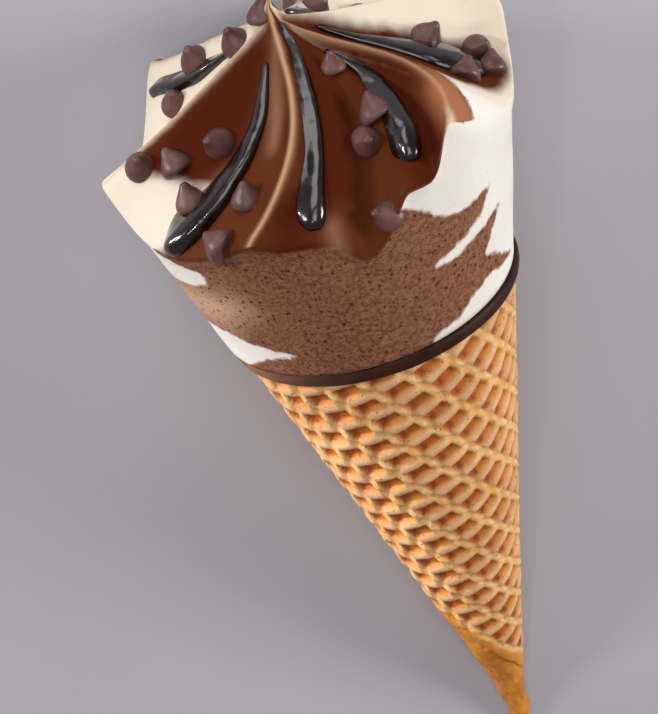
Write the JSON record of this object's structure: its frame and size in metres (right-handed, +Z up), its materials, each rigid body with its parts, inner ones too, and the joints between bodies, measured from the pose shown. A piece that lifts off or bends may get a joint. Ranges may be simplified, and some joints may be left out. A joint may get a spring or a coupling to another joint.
{
  "type": "soft serve cone",
  "caption": "Ice cream cone lying on its side: rolled waffle cone with a chocolate rim, marbled ice cream piped into a star, chocolate sauce and drops.",
  "frame": {"origin": "middle of the object's box, on the surface that it lies on", "axes": "+Z up, +Y level, from the cone's tip to its ice cream, +X across, to the right of someone at the tip who looks at the ice cream"},
  "size_m": [0.0672, 0.1606, 0.0613],
  "materials": {
    "wafer": "matte, golden brown baked wafer",
    "chocolate": "satin dark chocolate",
    "ice_cream": "matte chocolate and vanilla ice cream",
    "sauce": "glossy chocolate sauce",
    "drop": "satin milk chocolate drops"
  },
  "bodies": {
    "root": {"wafer_cone": "wafer", "chocolate_lining": "chocolate", "ice_cream": "ice_cream"}
  },
  "joints": []
}
